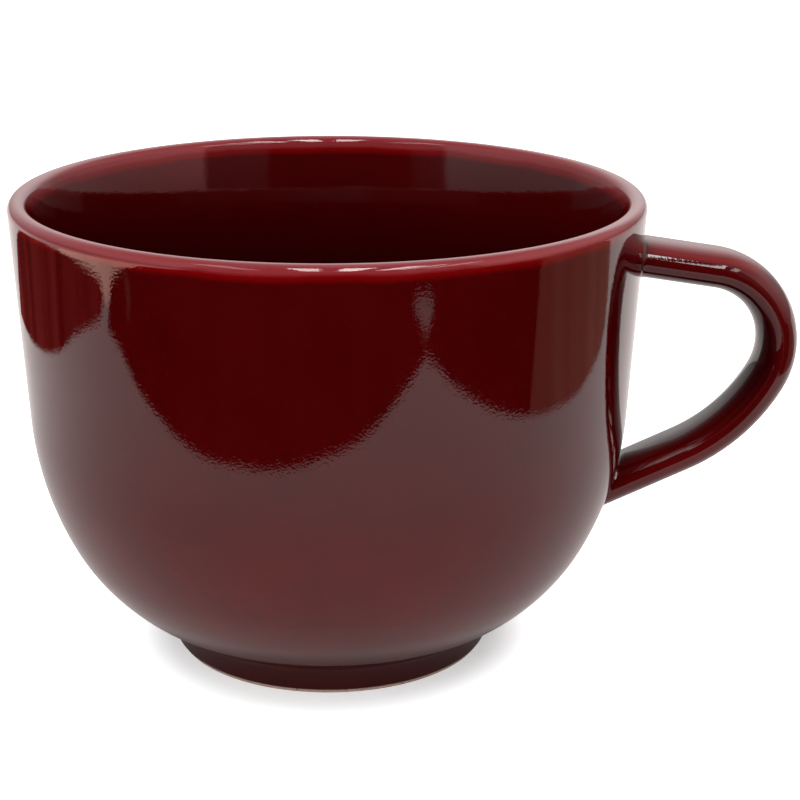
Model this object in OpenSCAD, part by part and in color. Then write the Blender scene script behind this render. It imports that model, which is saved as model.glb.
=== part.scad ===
// Soup mug: a turned stoneware bowl on a foot ring, with a strap handle luted on and a glaze fired over all
// but the ring it stands on. +Z is up, the bowl's axis is Z, the table is z = 0, the handle points along +X.

/* [Bowl] */
// Outside diameter across the rim
rim_d = 120; // [100:1:150]
// Height from the table to the top of the rim
mug_h = 90; // [78:1:120]
// Thickness of the wall, glaze included
wall_t = 5.5; // [4.6:0.1:7]
// Thickness of the round lip, glaze included
lip_t = 3.6; // [2.8:0.1:4.4]
// Radius of the flare by which the inside thins the wall to the lip
flare_r = 60; // [40:1:90]
// Outward lean of the straight wall, in degrees
wall_lean = 3.2; // [1:0.1:8]
// Height at which the straight wall turns into the belly
belly_z = 48; // [40:0.5:56]
// Angle below the horizontal at which the tighter lower belly takes over from the upper belly
belly_turn = 26.6; // [18:0.2:40]
// Radius of the upper belly over the radius of the lower belly
belly_ratio = 1.59; // [1.2:0.01:2]
// Radius of the curve between the inside wall and the floor
inside_r = 32; // [26:0.5:40]
// Thickness of the floor, glaze included
floor_t = 5.4; // [4:0.1:8]

/* [Foot] */
// Outside diameter of the foot where it stands
foot_d = 62; // [50:0.5:74]
// Height of the foot, up to where the belly would meet its side
foot_h = 5.9; // [4.6:0.1:8]
// Inward lean of the foot's side, in degrees
foot_lean = 15; // [5:1:25]
// Radius of the hollow between the belly and the foot's side
foot_fillet = 2.9; // [1.5:0.1:3.4]
// Width of the ring that the mug stands on
foot_ring_w = 5; // [3:0.1:9]
// Height of the bare clay at the bottom of the foot
bare_h = 0.7; // [0.4:0.1:1.5]

/* [Handle] */
// Thickness of the strap, glaze included
handle_t = 7.7; // [6:0.1:9.5]
// Width of the strap, glaze included
handle_w = 14.5; // [11:0.5:20]
// Distance from the rim down to the middle of the upper root
handle_drop = 12.6; // [11:0.2:18]
// Downward slope of the strap as it leaves the wall, in degrees
handle_droop = 8.5; // [0:0.5:15]
// Straight run of the strap from the wall to the bend
handle_run = 14.9; // [8:0.1:24]
// Height between the middles of the two roots
handle_span = 46.2; // [42:0.2:50]
// Slope of the leg that runs back to the belly, in degrees
leg_slope = 25; // [15:1:35]
// Angle through which the slower curve between the bend and the leg turns, in degrees
sweep_turn = 36.8; // [20:0.2:45]
// Radius of that slower curve over the radius of the bend
sweep_ratio = 2.32; // [1.6:0.02:3]

/* [Glaze and slip] */
// Thickness of the fired glaze
glaze_t = 0.4; // [0.2:0.05:0.8]
// Depth below the lip's round where the glaze has run thin
rim_band = 1.2; // [0.5:0.1:6]
// Width of the glaze that pools in the crease round each root of the handle
pool_w = 0.8; // [0.4:0.1:1.5]
// Thickness of the slip that lutes the handle to the bowl
slip_t = 0.6; // [0.3:0.05:1]

/* [Hidden] */
$fn = 128;
glaze_colour = "#4a0b10";
rim_colour = "#8a2a30";
clay_colour = "#cdbda6";

// An arc that runs into a line is drawn this much over size, so that the two cross cleanly
arc_over = 0.002;

// Directions in the half-plane of the profile, where x is the radius and y the height
function heading(angle) = [cos(angle), sin(angle)];
wall_out = heading(-wall_lean);
wall_up = heading(90 - wall_lean);
foot_out = heading(-foot_lean);
foot_up = heading(90 - foot_lean);

// The lip is one round. The outside of the wall runs straight down from it, and the inside is parallel to that.
// A depth of 0 is the glaze's own surface, and a depth of glaze_t is the clay under it.
lip_r = lip_t / 2;
lip_c = [rim_d / 2 - lip_r, mug_h - lip_r];
rim_line = lip_c.y - rim_band;
above_rim = mug_h + wall_t;
function along_wall(from, z) = from.x + (z - from.y) * tan(wall_lean);
function outside_x(depth, z) = along_wall(lip_c + (lip_r - depth) * wall_out, z);
function inside_x(depth, z) = along_wall(lip_c + (lip_r + depth - wall_t) * wall_out, z);

// The flare touches the inside of the wall and the lip's round.
flare_in = flare_r + lip_r - wall_t;
flare_c = lip_c + flare_in * wall_out - sqrt((flare_r - lip_r) ^ 2 - flare_in ^ 2) * wall_up;
flare_out = (flare_c - lip_c) / norm(flare_c - lip_c);

// The belly is two arcs, tangent to the wall at belly_z and to each other at belly_j. The lower one would meet the
// foot's side at foot_corner, which sets its radius.
belly_p = [outside_x(0, belly_z), belly_z];
foot_p = [foot_d / 2, 0];
foot_corner = foot_p + foot_h / cos(foot_lean) * foot_up;
belly_way = heading(-belly_turn);
belly_lead = (belly_ratio - 1) * belly_way - belly_ratio * wall_out;
belly_chord = foot_corner - belly_p;
belly_gain = belly_lead * belly_lead - 1;
belly_along = belly_chord * belly_lead;
belly_r = (belly_along - sqrt(belly_along ^ 2 - belly_gain * (belly_chord * belly_chord))) / belly_gain;
belly_c = belly_p + belly_r * belly_lead;
upper_r = belly_ratio * belly_r;
upper_c = belly_p - upper_r * wall_out;
belly_j = upper_c + upper_r * belly_way;
function arc_x(centre, radius, z) = centre.x + sqrt(radius ^ 2 - (z - centre.y) ^ 2);
function surface_x(z) =
    z > belly_z ? outside_x(0, z) : z > belly_j.y ? arc_x(upper_c, upper_r, z) : arc_x(belly_c, belly_r, z);

// The hollow above the foot touches the foot's side and the belly. The bowl and the foot meet at seam_z.
hollow_from = foot_p + foot_fillet * foot_out - belly_c;
hollow_lift = -hollow_from * foot_up
    - sqrt((hollow_from * foot_up) ^ 2 - hollow_from * hollow_from + (belly_r + foot_fillet) ^ 2);
hollow_c = belly_c + hollow_from + hollow_lift * foot_up;
seam_z = belly_c.y + (hollow_c.y - belly_c.y) * belly_r / (belly_r + foot_fillet);
foot_in_r = foot_d / 2 - foot_ring_w;

// The inside's curve touches the inside of the wall and the flat floor.
floor_z = seam_z + floor_t;
corner_y = floor_z + inside_r;
corner_c = [inside_x(0, corner_y) - inside_r / cos(wall_lean), corner_y];

// The middle of the strap: a straight run, a bend, a slower sweep and a straight leg, each tangent to the last.
// The bend's radius is the one with which the leg ends on the lower root.
root_z = mug_h - handle_drop;
root_p = [surface_x(root_z), root_z];
low_z = root_z - handle_span;
low_p = [surface_x(low_z), low_z];
root_depth = wall_t;
leg_depth = wall_t + handle_t;
run_heading = -handle_droop;
leg_heading = leg_slope - 180;
sweep_heading = leg_heading + sweep_turn;
leg_out = heading(leg_heading + 90);
run_end = root_p + handle_run * heading(run_heading);
bend_r = (low_p - run_end) * leg_out
    / (cos(sweep_turn) + sweep_ratio * (1 - cos(sweep_turn)) - cos(run_heading - leg_heading));
sweep_r = sweep_ratio * bend_r;
bend_c = run_end + bend_r * heading(run_heading - 90);
sweep_c = bend_c + (bend_r - sweep_r) * heading(sweep_heading + 90);

// Stops along the strap, each a point of its middle and the heading there
bend_steps = 20;
sweep_steps = 8;
strap_sides = 32;
function arc_stop(centre, radius, angle) = [centre + radius * heading(angle + 90), angle];
run_stops = [
    [root_p - root_depth * heading(run_heading), run_heading],
    arc_stop(bend_c, bend_r, run_heading)
];
leg_stops = [
    arc_stop(sweep_c, sweep_r, leg_heading),
    [low_p + leg_depth * heading(leg_heading), leg_heading]
];
strap_stops = [
    each run_stops,
    for (i = [1:bend_steps])
        arc_stop(bend_c, bend_r, run_heading + (sweep_heading - run_heading) * i / bend_steps),
    for (i = [1:sweep_steps - 1]) arc_stop(sweep_c, sweep_r, sweep_heading - sweep_turn * i / sweep_steps),
    each leg_stops
];

// Oval ring of points round the strap at one stop
function strap_ring(stop, depth) = [
    for (i = [0:strap_sides - 1])
        let (
            angle = 360 * i / strap_sides,
            across = (handle_w / 2 - depth) * sin(angle),
            p = stop[0] + (handle_t / 2 - depth) * cos(angle) * heading(stop[1] + 90)
        ) [p.x, across, p.y]
];

// Triangles of the skin between two rings that start at the given point numbers
function skin(first, second) = [
    for (i = [0:strap_sides - 1])
        let (j = (i + 1) % strap_sides)
            each [[first + i, second + j, second + i], [first + i, first + j, second + j]]
];

// A profile turned about the bowl's axis, with the seam of the turning away from the handle
module turned() {
    rotate(180) rotate_extrude() children();
}

// Profile of everything between two heights
module band(low, high) {
    translate([-rim_d, low]) square([2 * rim_d, high - low]);
}

// Profile of all that lies within the outside surface, from the seam to above the rim
module outside(depth) {
    intersection() {
        polygon([
            [0, seam_z], [outside_x(depth, seam_z), seam_z],
            [outside_x(depth, above_rim), above_rim], [0, above_rim]
        ]);
        union() {
            translate(upper_c) circle(upper_r - depth + arc_over);
            band(upper_c.y + (upper_r - depth) * wall_out.y, above_rim + wall_t);
        }
        union() {
            translate(belly_c) circle(belly_r - depth + 2 * arc_over);
            translate([belly_c.x - rim_d, 0]) square([rim_d, belly_c.y]);
            polygon([
                belly_c, belly_c + 2 * rim_d * belly_way, [2 * rim_d, above_rim + wall_t],
                [-rim_d, above_rim + wall_t], [-rim_d, belly_c.y]
            ]);
        }
    }
}

// Profile of the space that the soup fills, from the floor to above the rim
module cavity(depth) {
    floor_y = floor_z - depth;
    flare_y = flare_c.y - (flare_r - depth) * wall_out.y;
    difference() {
        translate([0, flare_y]) square([flare_c.x, above_rim + wall_t - flare_y]);
        translate(flare_c) circle(flare_r - depth + arc_over);
    }
    intersection() {
        polygon([
            [0, floor_y], [inside_x(depth, floor_y), floor_y],
            [inside_x(depth, above_rim + wall_t), above_rim + wall_t], [0, above_rim + wall_t]
        ]);
        union() {
            translate(corner_c) circle(inside_r + depth + arc_over);
            band(corner_c.y + (inside_r + depth) * wall_out.y, above_rim + 2 * wall_t);
            translate([corner_c.x - rim_d, 0]) square([rim_d, corner_c.y]);
        }
    }
}

// Profile of the wall, the lip and the floor
module bowl_wall(depth) {
    intersection() {
        difference() {
            outside(depth);
            cavity(depth);
        }
        union() {
            translate(lip_c) circle(lip_r - depth + arc_over);
            polygon([
                lip_c + wall_t * wall_out, lip_c, lip_c - wall_t * flare_out,
                [-rim_d, mug_h], [-rim_d, 0], [rim_d, 0]
            ]);
        }
    }
}

// Profile of the foot ring, from the table up to the seam
module foot(depth) {
    difference() {
        polygon([
            [foot_in_r, 0], [foot_p.x - depth / cos(foot_lean), 0], hollow_c - (foot_fillet + depth) * foot_out,
            hollow_c, [hollow_c.x, seam_z], [foot_in_r, seam_z]
        ]);
        translate(hollow_c) circle(foot_fillet + depth + arc_over);
    }
}

// Solid of all that lies within the outside surface
module outside_solid(depth) {
    turned() outside(depth);
}

// Solid layer that follows the outside surface between two depths
module outside_layer(outer, inner) {
    difference() {
        outside_solid(outer);
        outside_solid(inner);
    }
}

// A stretch of the strap, solid to the given depth
module strap(stops, depth) {
    last = (len(stops) - 1) * strap_sides;
    polyhedron(
        points = [for (stop = stops) each strap_ring(stop, depth)],
        faces = [
            [for (i = [1:strap_sides]) strap_sides - i],
            [for (i = [0:strap_sides - 1]) last + i],
            for (s = [0:len(stops) - 2]) each skin(s * strap_sides, (s + 1) * strap_sides)
        ]
    );
}

// A stretch of a sleeve round the strap, between two depths
module strap_sleeve(stops, outer, inner) {
    rings = len(stops);
    within = rings * strap_sides;
    last = within - strap_sides;
    polyhedron(
        points = [
            for (stop = stops) each strap_ring(stop, outer),
            for (stop = stops) each strap_ring(stop, inner)
        ],
        faces = [
            each skin(within, 0),
            each skin(last, within + last),
            for (s = [0:rings - 2]) each skin(s * strap_sides, (s + 1) * strap_sides),
            for (s = [0:rings - 2]) each skin(within + (s + 1) * strap_sides, within + s * strap_sides)
        ]
    );
}

// The clay of the bowl: wall, lip and floor
module bowl() {
    color(clay_colour) turned() bowl_wall(glaze_t);
}

// The clay ring that the mug stands on
module foot_ring() {
    color(clay_colour) turned() foot(glaze_t);
}

// The clay strap, whose ends follow the bowl
module handle() {
    color(clay_colour) difference() {
        strap(strap_stops, glaze_t);
        outside_solid(glaze_t - slip_t);
    }
}

// Slip between the strap's upper end and the bowl
module upper_slip() {
    color(clay_colour) intersection() {
        strap(run_stops, glaze_t);
        outside_layer(glaze_t - slip_t, glaze_t);
    }
}

// Slip between the strap's lower end and the bowl
module lower_slip() {
    color(clay_colour) intersection() {
        strap(leg_stops, glaze_t);
        outside_layer(glaze_t - slip_t, glaze_t);
    }
}

// Glaze on the outside of the wall and the belly, open where the strap is luted on
module outside_glaze() {
    color(glaze_colour) difference() {
        turned() intersection() {
            difference() {
                outside(0);
                outside(glaze_t);
            }
            band(0, rim_line);
        }
        strap(run_stops, glaze_t);
        strap(leg_stops, glaze_t);
    }
}

// Glaze on the inside of the wall and on the floor
module inside_glaze() {
    color(glaze_colour) turned() intersection() {
        difference() {
            cavity(glaze_t);
            cavity(0);
        }
        band(0, rim_line);
    }
}

// Thin glaze over the lip
module rim_glaze() {
    color(rim_colour) turned() intersection() {
        difference() {
            bowl_wall(0);
            bowl_wall(glaze_t);
        }
        band(rim_line, above_rim);
    }
}

// Glaze on the foot's side, which stops short of the table
module foot_glaze() {
    color(glaze_colour) turned() intersection() {
        difference() {
            foot(0);
            foot(glaze_t);
        }
        band(bare_h, above_rim);
    }
}

// Glaze in the recess under the floor
module base_glaze() {
    color(glaze_colour) turned() difference() {
        translate([0, bare_h]) square([foot_in_r, seam_z - bare_h]);
        translate([-rim_d, 0]) square([rim_d + foot_in_r - glaze_t, seam_z - glaze_t]);
    }
}

// Glaze round the strap
module handle_glaze() {
    color(glaze_colour) difference() {
        strap_sleeve(strap_stops, 0, glaze_t);
        outside_solid(0);
    }
}

// Glaze pooled in the crease round the strap's upper root
module upper_root_glaze() {
    color(glaze_colour) intersection() {
        strap_sleeve(run_stops, -pool_w, 0);
        outside_layer(-pool_w, 0);
    }
}

// Glaze pooled in the crease round the strap's lower root
module lower_root_glaze() {
    color(glaze_colour) intersection() {
        strap_sleeve(leg_stops, -pool_w, 0);
        outside_layer(-pool_w, 0);
    }
}

bowl();
foot_ring();
handle();
upper_slip();
lower_slip();
outside_glaze();
inside_glaze();
rim_glaze();
foot_glaze();
base_glaze();
handle_glaze();
upper_root_glaze();
lower_root_glaze();
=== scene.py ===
# %% [markdown]
# # A glazed soup mug
# This lesson dresses a soup mug: a turned stoneware bowl on a foot ring, with a pulled strap handle and an
# oxblood glaze over everything but the ring that it stands on. The solids come in as a fixed frame, in
# metres, with the bowl's axis on Z, the table at z = 0 and the handle along +X. Each piece made here
# stands in for one of them.

import math

import bmesh
import bpy
from mathutils import Matrix, Vector


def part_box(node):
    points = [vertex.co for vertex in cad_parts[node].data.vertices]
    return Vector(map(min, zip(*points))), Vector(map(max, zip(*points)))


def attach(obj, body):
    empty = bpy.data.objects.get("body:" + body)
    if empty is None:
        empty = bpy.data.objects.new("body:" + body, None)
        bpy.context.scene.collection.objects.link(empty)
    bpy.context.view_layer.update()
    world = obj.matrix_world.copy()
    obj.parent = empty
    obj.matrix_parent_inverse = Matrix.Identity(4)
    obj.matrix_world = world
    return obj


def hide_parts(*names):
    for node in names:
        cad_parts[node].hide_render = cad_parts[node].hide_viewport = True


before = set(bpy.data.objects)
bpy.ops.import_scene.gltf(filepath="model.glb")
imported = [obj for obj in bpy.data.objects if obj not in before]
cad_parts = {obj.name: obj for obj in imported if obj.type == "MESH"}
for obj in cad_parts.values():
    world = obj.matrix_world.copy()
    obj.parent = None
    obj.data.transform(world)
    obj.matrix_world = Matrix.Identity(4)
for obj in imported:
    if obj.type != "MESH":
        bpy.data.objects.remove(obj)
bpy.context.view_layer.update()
print("solids:", len(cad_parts))

# %% [markdown]
# ## The driving sizes
# A potter would write these on a card by the wheel: the rim, the height, the lean of the wall and the
# foot. The rim and the height are read from the frame. The rest are the same sizes that the solids were
# drawn from, in millimetres and degrees, so that the two models can't drift apart.

# %% Sizes of the mug, in millimetres
MM = 0.001
rim_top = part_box("rim_glaze")[1]
rim_r = rim_top[0] / MM
mug_h = rim_top[2] / MM
wall_t = 5.5
lip_r = 1.8
flare_r = 60
wall_lean = 3.2
belly_z = 48
belly_turn = 26.6
belly_ratio = 1.59
inside_r = 32
floor_t = 5.4
foot_r = 31
foot_h = 5.9
foot_lean = 15
foot_fillet = 2.9
foot_ring_w = 5
bare_h = 0.7
rim_band = 1.2
glaze_t = 0.4
print(f"rim radius {rim_r:.2f}, height {mug_h:.2f}")


# %% [markdown]
# ## The profile of the bowl
# A thrown bowl is one outline turned about the wheel's axis. The outline is drawn in a half-plane, where x
# is the radius and y the height: a straight leaning wall, a belly of two arcs, a hollow above the foot, a
# round lip, and an inside that thins the wall towards that lip. A freehand curve would be quicker to draw,
# but here each curve is tangent to the next, so a mirror-smooth glaze shows no kink.

# %% Corners and centres of the outline
def heading(angle):
    """Unit vector at an angle in degrees."""
    return Vector((math.cos(math.radians(angle)), math.sin(math.radians(angle))))


def slant(centre, depth, z):
    """Radius at a height on a line that leans as the wall does, a given distance outwards from a centre."""
    start = centre + depth * heading(-wall_lean)
    return start.x + (z - start.y) * math.tan(math.radians(wall_lean))


lip_c = Vector((rim_r - lip_r, mug_h - lip_r))
rim_line = lip_c.y - rim_band
flare_in = flare_r + lip_r - wall_t
flare_drop = math.sqrt((flare_r - lip_r) ** 2 - flare_in**2)
flare_c = lip_c + flare_in * heading(-wall_lean) - flare_drop * heading(90 - wall_lean)
flare_turn = math.degrees(math.atan2(flare_c.y - lip_c.y, flare_c.x - lip_c.x))

# The lower arc of the belly has to end at the foot's corner, which gives a quadratic for its radius.
belly_p = Vector((slant(lip_c, lip_r, belly_z), belly_z))
foot_p = Vector((foot_r, 0))
foot_corner = foot_p + foot_h / math.cos(math.radians(foot_lean)) * heading(90 - foot_lean)
belly_lead = (belly_ratio - 1) * heading(-belly_turn) - belly_ratio * heading(-wall_lean)
belly_chord = foot_corner - belly_p
belly_gain = belly_lead.length_squared - 1
belly_along = belly_chord.dot(belly_lead)
belly_root = math.sqrt(belly_along**2 - belly_gain * belly_chord.length_squared)
belly_r = (belly_along - belly_root) / belly_gain
belly_c = belly_p + belly_r * belly_lead
upper_r = belly_ratio * belly_r
upper_c = belly_p - upper_r * heading(-wall_lean)
belly_j = upper_c + upper_r * heading(-belly_turn)

# The hollow is a ball that rests against the foot's side and under the belly.
hollow_from = foot_p + foot_fillet * heading(-foot_lean) - belly_c
up_foot = hollow_from.dot(heading(90 - foot_lean))
hollow_reach = up_foot**2 - hollow_from.length_squared + (belly_r + foot_fillet) ** 2
hollow_lift = -up_foot - math.sqrt(hollow_reach)
hollow_c = belly_c + hollow_from + hollow_lift * heading(90 - foot_lean)
seam_z = belly_c.y + (hollow_c.y - belly_c.y) * belly_r / (belly_r + foot_fillet)
foot_in_r = foot_r - foot_ring_w

inside_floor = seam_z + floor_t
corner_z = inside_floor + inside_r
corner_x = slant(lip_c, lip_r - wall_t, corner_z) - inside_r / math.cos(math.radians(wall_lean))
corner_c = Vector((corner_x, corner_z))
print(f"belly radii {upper_r:.2f} and {belly_r:.2f}")
print(f"seam at {seam_z:.2f}, inside floor at {inside_floor:.2f}")


# %% [markdown]
# ## Stretches of the outline
# The glaze is one coat on the real mug, but it looks different on the wall, the lip and the inside, so
# each gets a stretch of the outline. Every stretch can be drawn at a depth below the surface: depth 0 is
# the glaze, and its thickness further in is the clay. Steps of a degree or two keep the mirrored edges
# smooth.

# %% Points along the stretches
def arc(centre, radius, start, end, step=1.5):
    """Points of an arc from one angle to another, in degrees, no further apart than a step."""
    count = max(2, math.ceil(abs(end - start) / step))
    return [centre + radius * heading(start + (end - start) * i / count) for i in range(count + 1)]


def line(start, end, step=2.0):
    """Points of a straight stretch without its two ends."""
    count = max(1, math.ceil((end - start).length / step))
    return [start.lerp(end, i / count) for i in range(1, count)]


def outside_stretch(depth):
    """Belly and wall from the seam up to the rim line."""
    low = math.degrees(math.asin((seam_z - belly_c.y) / (belly_r - depth)))
    belly = arc(belly_c, belly_r - depth, low, -belly_turn)
    belly += arc(upper_c, upper_r - depth, -belly_turn, -wall_lean, step=1.0)[1:]
    top = Vector((slant(lip_c, lip_r - depth, rim_line), rim_line))
    return belly + line(belly[-1], top) + [top]


def rim_stretch(depth):
    """The lip from the rim line outside, over the round, to the rim line inside."""
    foot = Vector((slant(lip_c, lip_r - depth, rim_line), rim_line))
    lip = arc(lip_c, lip_r - depth, -wall_lean, 180 + flare_turn, step=6)
    radius = flare_r - depth
    low = 180 - math.degrees(math.asin((rim_line - flare_c.y) / radius))
    return [foot] + lip + arc(flare_c, radius, 180 + flare_turn, low)[1:]


def inside_stretch(depth):
    """From the rim line down the flare and the wall, round the corner and over the floor to the axis."""
    radius = flare_r - depth
    high = 180 - math.degrees(math.asin((rim_line - flare_c.y) / radius))
    flare = arc(flare_c, radius, high, 180 - wall_lean)
    corner = arc(corner_c, inside_r + depth, -wall_lean, -90)
    axis = Vector((0, corner[-1].y))
    return flare + line(flare[-1], corner[0]) + corner + line(corner[-1], axis) + [axis]


def shell(stretch):
    """Closed outline of a coat of glaze: its surface one way and the clay under it the other way."""
    return stretch(0) + stretch(glaze_t)[::-1]


print("points outside, rim, inside:", [len(s(0)) for s in (outside_stretch, rim_stretch, inside_stretch)])


# %% [markdown]
# ## Helpers for materials
# Colour charts give sRGB hex codes, and shaders work in linear light, so one function converts them.
# Another adds any node, sets it and links it, which keeps the trees below short enough to read. Sockets
# that share a name go by number: in Mix, 0 is the share, 2 and 3 are numbers, and 6 and 7 colours. In Map
# Range, 0 is the value, 1 and 2 the range that it comes from, and 3 and 4 the range that it goes to.

# %% Helpers for colour and nodes
def hex_colour(code):
    """sRGB hex to linear RGBA."""
    parts = [int(code[i : i + 2], 16) / 255 for i in (1, 3, 5)]
    return [p / 12.92 if p <= 0.04045 else ((p + 0.055) / 1.055) ** 2.4 for p in parts] + [1.0]


def add(tree, kind, inputs=None, **settings):
    """One new node with its settings, whose inputs are linked to sockets or set to values."""
    node = tree.nodes.new(kind)
    for name, value in settings.items():
        setattr(node, name, value)
    for name, value in (inputs or {}).items():
        if isinstance(value, bpy.types.NodeSocket):
            tree.links.new(value, node.inputs[name])
        else:
            node.inputs[name].default_value = value
    return node


def new_material(name):
    """An empty material and its node tree."""
    material = bpy.data.materials.new(name)
    material.use_nodes = True
    material.node_tree.nodes.clear()
    return material, material.node_tree


print(f"mid grey in linear light: {hex_colour('#808080')[0]:.3f}")

# %% [markdown]
# ## Oxblood glaze
# Oxblood is a copper-red glaze fired on stoneware: a layer of coloured glass about 0.4 mm thick. One flat
# red would look like plastic. Real glaze flows in the kiln: cloudy patches lie deeper, and faint level rings
# show above the foot. The belly is painted a brighter red than the wall, as painted light bounced up from the
# board, and the foot is painted darker, as painted shade under the belly. So the colour follows the height,
# along a line that wanders with the clouds. All sizes of the pattern are in millimetres.

# %% Body colour of the glaze
# Of these reds, the belly's carries painted bounce light, the deep one serves both the cloudy patches and the
# painted shade on the foot, and the darkest serves both the level rings and the painted shade inside the bowl
# and on the handle.
upper_red = "#3f0203"
bounce_lit_red = "#4e0304"
cloud_and_shade_red = "#360102"
ring_and_shade_red = "#280102"
cloud_size = 14
cloud_shift = 1.5
cloud_from = 0.35
cloud_full = 0.75
ring_size = 2.2
ring_squeeze = 0.08
ring_low = 9
ring_high = 20
ring_from = 0.48
ring_full = 0.62
deepest_share = 0.5
glaze, nodes = new_material("oxblood_glaze")
place = add(nodes, "ShaderNodeTexCoord").outputs["Object"]
height = add(nodes, "ShaderNodeSeparateXYZ", {0: place}).outputs["Z"]
clouds = add(nodes, "ShaderNodeTexNoise", {
    "Vector": place, "Scale": 1 / (cloud_size * MM), "Detail": 3.0}).outputs[0]
wander = add(nodes, "ShaderNodeMath", {0: clouds, 1: cloud_shift * MM, 2: height},
             operation="MULTIPLY_ADD").outputs[0]


def by_height(below, above, low, high, level=wander):
    """Colour that passes from one to another between two heights in millimetres, along a wandering line."""
    share = add(nodes, "ShaderNodeMapRange", {0: level, 1: low * MM, 2: high * MM},
                interpolation_type="SMOOTHSTEP").outputs[0]
    return add(nodes, "ShaderNodeMix", {0: share, 6: below, 7: above}, data_type="RGBA").outputs[2]


# Painted light: the belly is painted a brighter red than the wall, for light bounced up from the white board.
body = by_height(hex_colour(bounce_lit_red), hex_colour(upper_red), low=26, high=62)
cloud_share = add(nodes, "ShaderNodeMapRange", {
    0: clouds, 1: cloud_from, 2: cloud_full, 3: 0.0, 4: deepest_share}).outputs[0]
body = add(nodes, "ShaderNodeMix", {0: cloud_share, 6: body, 7: hex_colour(cloud_and_shade_red)},
           data_type="RGBA").outputs[2]

drawn_out = add(nodes, "ShaderNodeVectorMath", {0: place, 1: (ring_squeeze, ring_squeeze, 1.0)},
                operation="MULTIPLY").outputs[0]
rings = add(nodes, "ShaderNodeTexNoise", {
    "Vector": drawn_out, "Scale": 1 / (ring_size * MM), "Detail": 1.0}).outputs[0]
near_foot = add(nodes, "ShaderNodeMapRange", {
    0: height, 1: ring_low * MM, 2: ring_high * MM, 3: 1.0, 4: 0.0}).outputs[0]
ring_share = add(nodes, "ShaderNodeMapRange", {
    0: rings, 1: ring_from, 2: ring_full, 3: 0.0, 4: deepest_share}).outputs[0]
ring_share = add(nodes, "ShaderNodeMath", {0: ring_share, 1: near_foot}, operation="MULTIPLY").outputs[0]
body = add(nodes, "ShaderNodeMix", {0: ring_share, 6: body, 7: hex_colour(ring_and_shade_red)},
           data_type="RGBA").outputs[2]
# Painted shade: the glaze on the foot, under the overhang of the belly, is painted in the deep red.
body = by_height(hex_colour(cloud_and_shade_red), body, low=4, high=9)
print("material:", glaze.name, len(nodes.nodes), "nodes for its body colour")

# %% [markdown]
# ## Painted shade, painted light and the lip
# Melted glaze runs off edges, and where it runs thinner it breaks to a lighter red. Apart from that, the
# inside and the inner side of the handle get painted shade, a nearly black-red, and the top of the handle
# gets painted light, a lighter red. These shares are kept on each piece's vertices, as attributes that later
# cells fill in, because no pattern in space follows the handle or the inside. The lip needs none: height is
# enough there, and on its inner side the light red reaches a little further down.

# %% Colour of the painted shade, the painted light and the lip
# The first red is painted light on the top of the handle; the other two are the lip's own lighter reds, where
# the glaze runs thinner.
thin_red = "#681214"
glow_red = "#680304"
lip_pink = "#7a272b"
lip_inner = 3.0
lip_crest = 1.6
lip_reach = 0.6
# Painted shade and painted light: the first attribute darkens the inside below the rim and the handle's inner
# side, the second lightens the top of the handle.
painted_shade = add(nodes, "ShaderNodeAttribute", attribute_name="painted_shade").outputs["Fac"]
body = add(nodes, "ShaderNodeMix", {0: painted_shade, 6: body, 7: hex_colour(ring_and_shade_red)}, data_type="RGBA").outputs[2]
thin = add(nodes, "ShaderNodeAttribute", attribute_name="thin").outputs["Fac"]
body = add(nodes, "ShaderNodeMix", {0: thin, 6: body, 7: hex_colour(thin_red)}, data_type="RGBA").outputs[2]

flat = add(nodes, "ShaderNodeVectorMath", {0: place, 1: (1, 1, 0)}, operation="MULTIPLY")
from_axis = add(nodes, "ShaderNodeVectorMath", {0: flat.outputs[0]}, operation="LENGTH").outputs["Value"]
inside_run = add(nodes, "ShaderNodeMapRange", {
    0: from_axis, 1: (rim_r - lip_inner) * MM, 2: (rim_r - lip_crest) * MM,
    3: lip_reach * MM, 4: 0.0}).outputs[0]
lip_line = add(nodes, "ShaderNodeMath", {0: wander, 1: inside_run}, operation="ADD").outputs[0]
body = by_height(body, hex_colour(glow_red), low=mug_h - 2.6, high=mug_h - 1.1, level=lip_line)
body = by_height(body, hex_colour(lip_pink), low=mug_h - 1.2, high=mug_h - 0.3, level=lip_line)
print("colours of thin glaze:", thin_red, glow_red, lip_pink)

# %% [markdown]
# ## The skin of the glaze
# Fired glaze is as smooth as window glass, yet its reflections waver. Tiny pits and a slight orange peel
# break their edges, ripples from the wheel show near the foot, and the thrown inside swells slowly. All of
# these are some hundredths of a millimetre high at most, far too low to model, so a bump carries them. The
# index of 1.5 is that of glass.

# %% Bump and gloss of the glaze
bump_unit = 0.004
skin_patterns = {"swell": (8, 2.0), "peel": (2.4, 1.0), "pits": (0.45, 1.0)}
swell_height = 13.0
peel_height = 0.6
pit_height = 1.5
ripple_height = 14.0
grain = {}
for name, (size, detail) in skin_patterns.items():
    grain[name] = add(nodes, "ShaderNodeTexNoise", {
        "Vector": place, "Scale": 1 / (size * MM), "Detail": detail}).outputs[0]
thrown = add(nodes, "ShaderNodeAttribute", attribute_name="thrown").outputs["Fac"]
thrown = add(nodes, "ShaderNodeMath", {0: thrown, 1: swell_height}, operation="MULTIPLY").outputs[0]
ripple = add(nodes, "ShaderNodeMath", {0: near_foot, 1: ripple_height}, operation="MULTIPLY").outputs[0]
skin = add(nodes, "ShaderNodeMath", {0: grain["swell"], 1: thrown}, operation="MULTIPLY").outputs[0]
for pattern, share in ((grain["peel"], peel_height), (grain["pits"], pit_height), (rings, ripple)):
    skin = add(nodes, "ShaderNodeMath", {0: pattern, 1: share, 2: skin}, operation="MULTIPLY_ADD").outputs[0]
wave = add(nodes, "ShaderNodeBump", {"Strength": 1.0, "Distance": bump_unit * MM, "Height": skin})
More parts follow.
